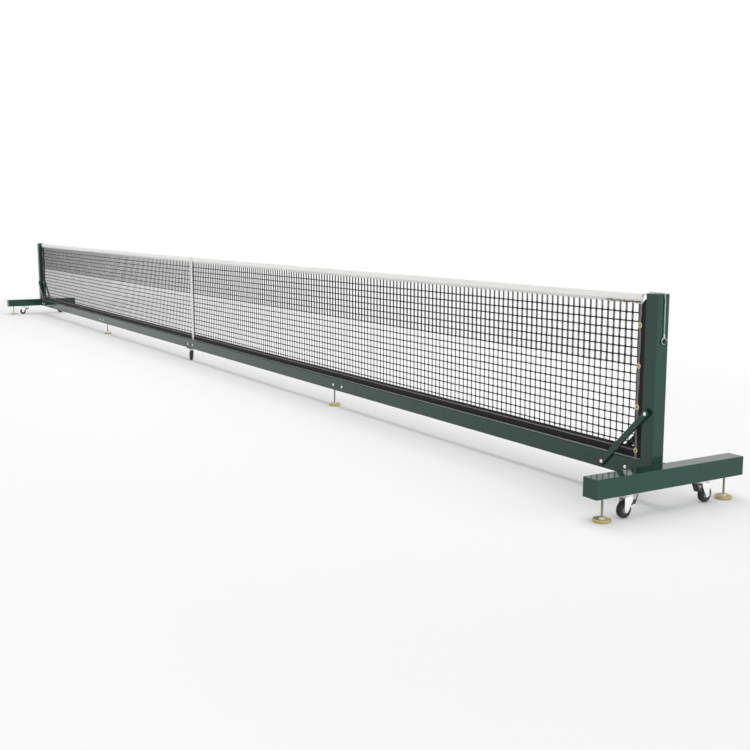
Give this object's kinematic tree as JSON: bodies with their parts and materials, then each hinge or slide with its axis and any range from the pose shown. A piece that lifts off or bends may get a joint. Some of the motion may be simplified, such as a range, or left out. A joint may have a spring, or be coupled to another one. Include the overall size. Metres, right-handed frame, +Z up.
{
  "type": "wheeled court net with free-standing posts",
  "caption": "Free-standing court net on T-shaped steel bases with swivel casters and levelling feet, joined by a bolted ground rail, with square posts and corner braces.",
  "frame": {"origin": "on the floor midway between the posts, in the plane of the net", "axes": "+X along the net towards the right post, +Y to the rear, +Z up"},
  "size_m": [13.1876, 1.016, 1.0939],
  "materials": {
    "green_powder_coat": "glossy dark green powder coat",
    "bright_zinc": "bright zinc plating",
    "yellow_zinc": "yellow passivated zinc plating",
    "steel_cable": "galvanised wire rope",
    "black_rubber": "smooth solid rubber",
    "black_plastic": "moulded, slightly shiny",
    "net_twine": "braided black twine",
    "white_vinyl": "white vinyl-coated cloth",
    "white_webbing": "white woven webbing",
    "black_tape": "black coated tape",
    "green_cord": "green and black braided lacing cord"
  },
  "bodies": {
    "frame": {"t_base_left": "green_powder_coat", "post_left": "green_powder_coat", "brace_front_left": "green_powder_coat", "brace_rear_left": "green_powder_coat", "lacing_rod_left": "green_powder_coat", "side_tape_left": "black_tape", "brace_bolt_lower_left": "bright_zinc", "brace_bolt_upper_left": "bright_zinc", "rail_end_bolt_left": "bright_zinc", "t_base_right": "green_powder_coat", "post_right": "green_powder_coat", "brace_front_right": "green_powder_coat", "brace_rear_right": "green_powder_coat", "lacing_rod_right": "green_powder_coat", "side_tape_right": "black_tape", "brace_bolt_lower_right": "bright_zinc", "brace_bolt_upper_right": "bright_zinc", "rail_end_bolt_right": "bright_zinc", "rail_left_outer": "green_powder_coat", "rail_left_inner": "green_powder_coat", "rail_right_inner": "green_powder_coat", "rail_right_outer": "green_powder_coat", "splice_sleeve_left": "green_powder_coat", "splice_bolt_left_1": "bright_zinc", "splice_bolt_left_2": "bright_zinc", "splice_sleeve_centre": "green_powder_coat", "splice_bolt_centre_1": "bright_zinc", "splice_bolt_centre_2": "bright_zinc", "splice_sleeve_right": "green_powder_coat", "splice_bolt_right_1": "bright_zinc", "splice_bolt_right_2": "bright_zinc", "net_mesh": "net_twine", "headband": "white_vinyl", "bottom_tape": "black_tape", "centre_strap": "white_webbing", "strap_anchor": "bright_zinc", "head_cord": "steel_cable", "corner_lacing": "green_cord"},
    "caster_fork_right_front": {"fork_right_front": "bright_zinc"},
    "caster_wheel_right_front": {"wheel_right_front": "black_rubber"},
    "caster_brake_right_front": {"brake_pedal_right_front": "black_plastic"},
    "caster_fork_right_rear": {"fork_right_rear": "bright_zinc"},
    "caster_wheel_right_rear": {"wheel_right_rear": "black_rubber"},
    "caster_brake_right_rear": {"brake_pedal_right_rear": "black_plastic"},
    "caster_fork_left_front": {"fork_left_front": "bright_zinc"},
    "caster_wheel_left_front": {"wheel_left_front": "black_rubber"},
    "caster_brake_left_front": {"brake_pedal_left_front": "black_plastic"},
    "caster_fork_left_rear": {"fork_left_rear": "bright_zinc"},
    "caster_wheel_left_rear": {"wheel_left_rear": "black_rubber"},
    "caster_brake_left_rear": {"brake_pedal_left_rear": "black_plastic"},
    "caster_fork_centre": {"fork_centre": "bright_zinc"},
    "caster_wheel_centre": {"wheel_centre": "black_rubber"},
    "caster_brake_centre": {"brake_pedal_centre": "black_plastic"},
    "foot_right_front": {"foot_right_front": "yellow_zinc"},
    "foot_right_rear": {"foot_right_rear": "yellow_zinc"},
    "foot_left_front": {"foot_left_front": "yellow_zinc"},
    "foot_left_rear": {"foot_left_rear": "yellow_zinc"},
    "foot_right_middle": {"foot_right_middle": "yellow_zinc"},
    "foot_left_middle": {"foot_left_middle": "yellow_zinc"}
  },
  "joints": [
    {"name": "swivel_right_front", "type": "hinge", "parent": "frame", "child": "caster_fork_right_front", "pos_m": [6.5438, -0.257, 0.117], "axis": [0, 0, 1], "continuous": true},
    {"name": "roll_right_front", "type": "hinge", "parent": "caster_fork_right_front", "child": "caster_wheel_right_front", "pos_m": [6.54694, -0.28684, 0.0425], "axis": [0.9945, 0.1045, 0], "continuous": true},
    {"name": "brake_right_front", "type": "hinge", "parent": "caster_fork_right_front", "child": "caster_brake_right_front", "pos_m": [6.54296, -0.24904, 0.092], "axis": [-0.9945, -0.1045, 0], "range_deg": [0, 6]},
    {"name": "swivel_right_rear", "type": "hinge", "parent": "frame", "child": "caster_fork_right_rear", "pos_m": [6.5438, 0.257, 0.117], "axis": [0, 0, 1], "continuous": true},
    {"name": "roll_right_rear", "type": "hinge", "parent": "caster_fork_right_rear", "child": "caster_wheel_right_rear", "pos_m": [6.53962, 0.28671, 0.0425], "axis": [-0.9903, -0.1392, 0], "continuous": true},
    {"name": "brake_right_rear", "type": "hinge", "parent": "caster_fork_right_rear", "child": "caster_brake_right_rear", "pos_m": [6.54491, 0.24908, 0.092], "axis": [0.9903, 0.1392, 0], "range_deg": [0, 6]},
    {"name": "swivel_left_front", "type": "hinge", "parent": "frame", "child": "caster_fork_left_front", "pos_m": [-6.5438, -0.257, 0.117], "axis": [0, 0, 1], "continuous": true},
    {"name": "roll_left_front", "type": "hinge", "parent": "caster_fork_left_front", "child": "caster_wheel_left_front", "pos_m": [-6.54901, -0.28654, 0.0425], "axis": [0.9848, -0.1736, 0], "continuous": true},
    {"name": "brake_left_front", "type": "hinge", "parent": "caster_fork_left_front", "child": "caster_brake_left_front", "pos_m": [-6.54241, -0.24912, 0.092], "axis": [-0.9848, 0.1736, 0], "range_deg": [0, 6]},
    {"name": "swivel_left_rear", "type": "hinge", "parent": "frame", "child": "caster_fork_left_rear", "pos_m": [-6.5438, 0.257, 0.117], "axis": [0, 0, 1], "continuous": true},
    {"name": "roll_left_rear", "type": "hinge", "parent": "caster_fork_left_rear", "child": "caster_wheel_left_rear", "pos_m": [-6.54641, 0.28689, 0.0425], "axis": [-0.9962, -0.0872, 0], "continuous": true},
    {"name": "brake_left_rear", "type": "hinge", "parent": "caster_fork_left_rear", "child": "caster_brake_left_rear", "pos_m": [-6.5431, 0.24903, 0.092], "axis": [0.9962, 0.0872, 0], "range_deg": [0, 6]},
    {"name": "swivel_centre", "type": "hinge", "parent": "frame", "child": "caster_fork_centre", "pos_m": [-0.076, 0, 0.117], "axis": [0, 0, 1], "continuous": true},
    {"name": "roll_centre", "type": "hinge", "parent": "caster_fork_centre", "child": "caster_wheel_centre", "pos_m": [-0.10484, 0.00827, 0.0425], "axis": [-0.2756, -0.9613, 0], "continuous": true},
    {"name": "brake_centre", "type": "hinge", "parent": "caster_fork_centre", "child": "caster_brake_centre", "pos_m": [-0.06831, -0.00221, 0.092], "axis": [0.2756, 0.9613, 0], "range_deg": [0, 6]},
    {"name": "level_right_front", "type": "slide", "parent": "frame", "child": "foot_right_front", "axis": [0, 0, 1], "range_m": [-0.02, 0.035]},
    {"name": "level_right_rear", "type": "slide", "parent": "frame", "child": "foot_right_rear", "axis": [0, 0, 1], "range_m": [-0.02, 0.035]},
    {"name": "level_left_front", "type": "slide", "parent": "frame", "child": "foot_left_front", "axis": [0, 0, 1], "range_m": [-0.02, 0.035]},
    {"name": "level_left_rear", "type": "slide", "parent": "frame", "child": "foot_left_rear", "axis": [0, 0, 1], "range_m": [-0.02, 0.035]},
    {"name": "level_right_middle", "type": "slide", "parent": "frame", "child": "foot_right_middle", "axis": [0, 0, 1], "range_m": [-0.02, 0.035]},
    {"name": "level_left_middle", "type": "slide", "parent": "frame", "child": "foot_left_middle", "axis": [0, 0, 1], "range_m": [-0.02, 0.035]}
  ]
}
